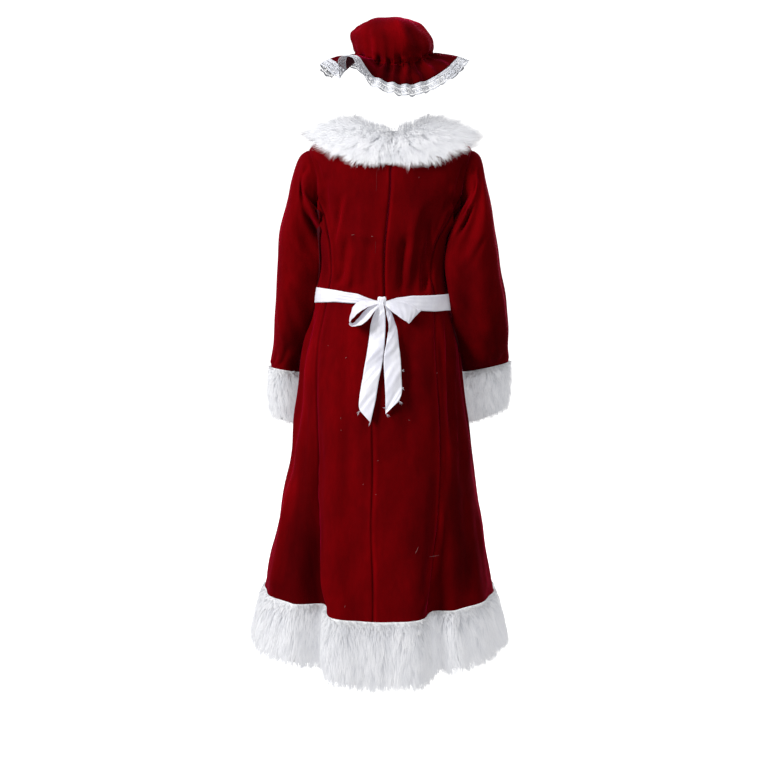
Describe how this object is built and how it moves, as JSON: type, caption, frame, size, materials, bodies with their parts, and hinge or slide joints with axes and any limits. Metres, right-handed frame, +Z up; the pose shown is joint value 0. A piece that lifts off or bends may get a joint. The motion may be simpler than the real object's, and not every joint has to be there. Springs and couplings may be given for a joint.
{
  "type": "worn christmas costume: long velvet dress with ribbon sash, and its gathered cap",
  "caption": "Long burgundy velvet costume dress with white fur collar, cuffs and hem, a satin ribbon sash tied in a bow behind, and a gathered cap with a lace edge.",
  "frame": {"origin": "middle of the neck, level with the shoulder seams at the neck, where the dress hangs on its wearer", "axes": "+Z up, +Y towards the wearer's front, +X towards the wearer's right"},
  "size_m": [0.636, 0.5249, 1.512],
  "materials": {
    "velvet": "short-pile velvet, deep red",
    "fur": "long-pile faux fur, white",
    "satin": "satin ribbon, white",
    "lace": "gathered lace, white"
  },
  "bodies": {
    "root": {"bodice_back_left": "velvet", "bodice_back_right": "velvet", "bodice_side_back_left": "velvet", "bodice_side_back_right": "velvet", "bodice_front": "velvet", "bodice_side_front_left": "velvet", "bodice_side_front_right": "velvet", "skirt_back_left": "velvet", "skirt_back_right": "velvet", "skirt_side_back_left": "velvet", "skirt_side_back_right": "velvet", "skirt_front": "velvet", "skirt_side_front_left": "velvet", "skirt_side_front_right": "velvet", "sleeve_left": "velvet", "sleeve_right": "velvet", "cap": "velvet", "collar_left": "fur", "collar_right": "fur", "cuff_left": "fur", "cuff_right": "fur", "hem_fur_back": "fur", "hem_fur_front": "fur", "sash": "satin", "bow_knot": "satin", "bow_loop_left": "satin", "bow_loop_right": "satin", "bow_tail_left": "satin", "bow_tail_right": "satin", "cap_lace_left": "lace", "cap_lace_right": "lace"}
  },
  "joints": []
}
